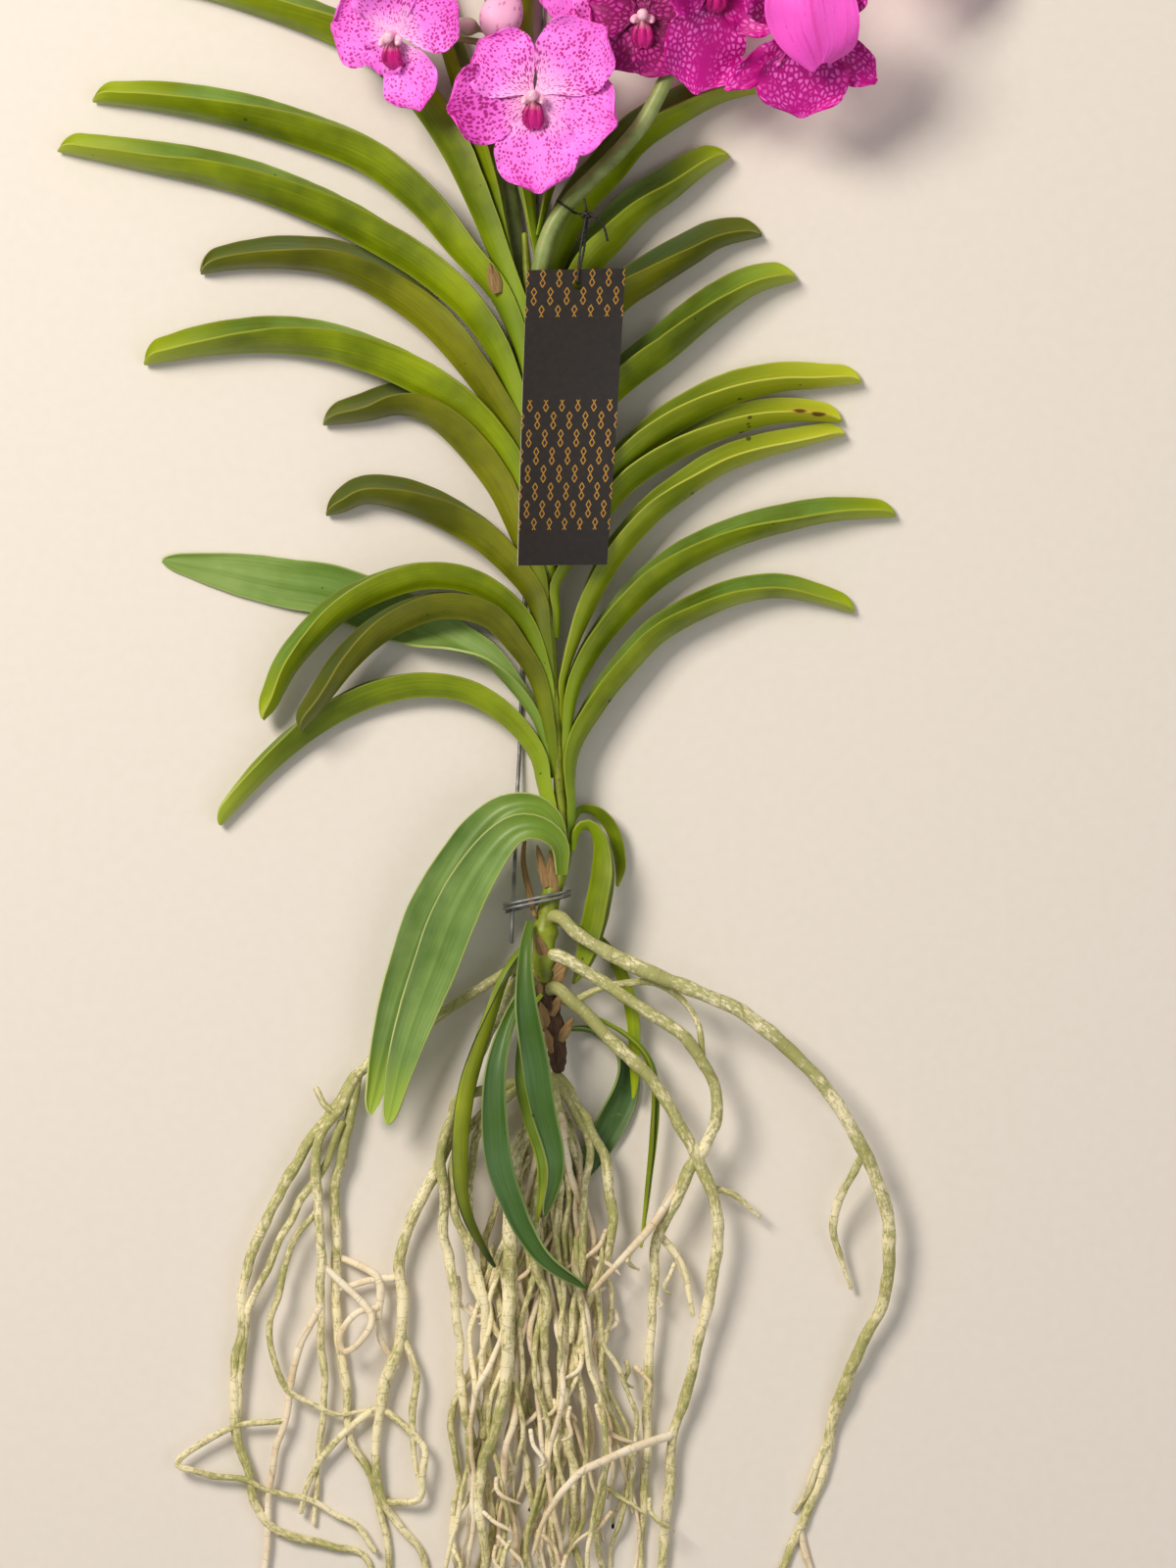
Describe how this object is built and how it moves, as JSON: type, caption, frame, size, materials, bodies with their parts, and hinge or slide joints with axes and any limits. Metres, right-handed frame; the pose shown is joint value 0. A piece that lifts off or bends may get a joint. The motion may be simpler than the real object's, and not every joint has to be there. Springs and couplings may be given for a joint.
{
  "type": "vanda orchid",
  "caption": "Bare-rooted vanda orchid with strap leaves, spotted magenta blooms, aerial roots, a wire hanger and a plain card tag.",
  "frame": {"origin": "on the surface the plant lies on, under the middle of its box", "axes": "+Y from the roots to the plant's tip, +X to the plant's right as the picture shows it, +Z to the side seen from the front"},
  "size_m": [0.4698, 1.0233, 0.0855],
  "materials": {
    "leaf_green": "semi-gloss waxy leaf",
    "stem_green": "satin green stem",
    "dry_husk": "matt papery husk",
    "root_skin": "matt silvery root",
    "petal_light": "satin petal, light magenta with dark spots",
    "petal_deep": "satin petal, deep magenta with a pale net",
    "bud_pink": "satin bud",
    "galvanised_wire": "galvanised",
    "tag_card": "coated card, charcoal with gold marks",
    "tie_string": "matt twisted string"
  },
  "bodies": {
    "root": {"bloom_left_01": "petal_light", "bloom_left_02": "petal_light", "bloom_left_03": "petal_light", "bloom_left_04": "petal_light", "bloom_right_01": "petal_deep", "bloom_right_02": "petal_deep", "bloom_right_03": "petal_deep", "bloom_right_04": "petal_deep", "bloom_right_05": "petal_deep", "bloom_right_06": "petal_deep", "bud_pink": "bud_pink", "husk_stalk": "dry_husk", "leaf_crown_01": "leaf_green", "leaf_crown_02": "leaf_green", "leaf_crown_03": "leaf_green", "leaf_left_01": "leaf_green", "leaf_left_02": "leaf_green", "leaf_left_03": "leaf_green", "leaf_left_04": "leaf_green", "leaf_left_05": "leaf_green", "leaf_left_06": "leaf_green", "leaf_left_07": "leaf_green", "leaf_left_08": "leaf_green", "leaf_left_09": "leaf_green", "leaf_left_10": "leaf_green", "leaf_left_11": "leaf_green", "leaf_left_12": "leaf_green", "leaf_left_13": "leaf_green", "leaf_low_01": "leaf_green", "leaf_low_02": "leaf_green", "leaf_low_03": "leaf_green", "leaf_low_04": "leaf_green", "leaf_right_01": "leaf_green", "leaf_right_02": "leaf_green", "leaf_right_03": "leaf_green", "leaf_right_04": "leaf_green", "leaf_right_05": "leaf_green", "leaf_right_06": "leaf_green", "leaf_right_07": "leaf_green", "leaf_right_08": "leaf_green", "leaf_right_09": "leaf_green", "leaf_right_10": "leaf_green", "leaf_right_11": "leaf_green", "leaf_right_12": "leaf_green", "leaf_right_13": "leaf_green", "leaf_right_14": "leaf_green", "root_right_long": "root_skin", "roots_centre": "root_skin", "roots_left": "root_skin", "roots_right": "root_skin", "spike_left": "stem_green", "spike_right": "stem_green", "stem": "stem_green", "stem_old": "dry_husk", "tag": "tag_card", "tag_tie": "tie_string", "wire_hanger": "galvanised_wire", "wire_ring": "galvanised_wire"}
  },
  "joints": []
}
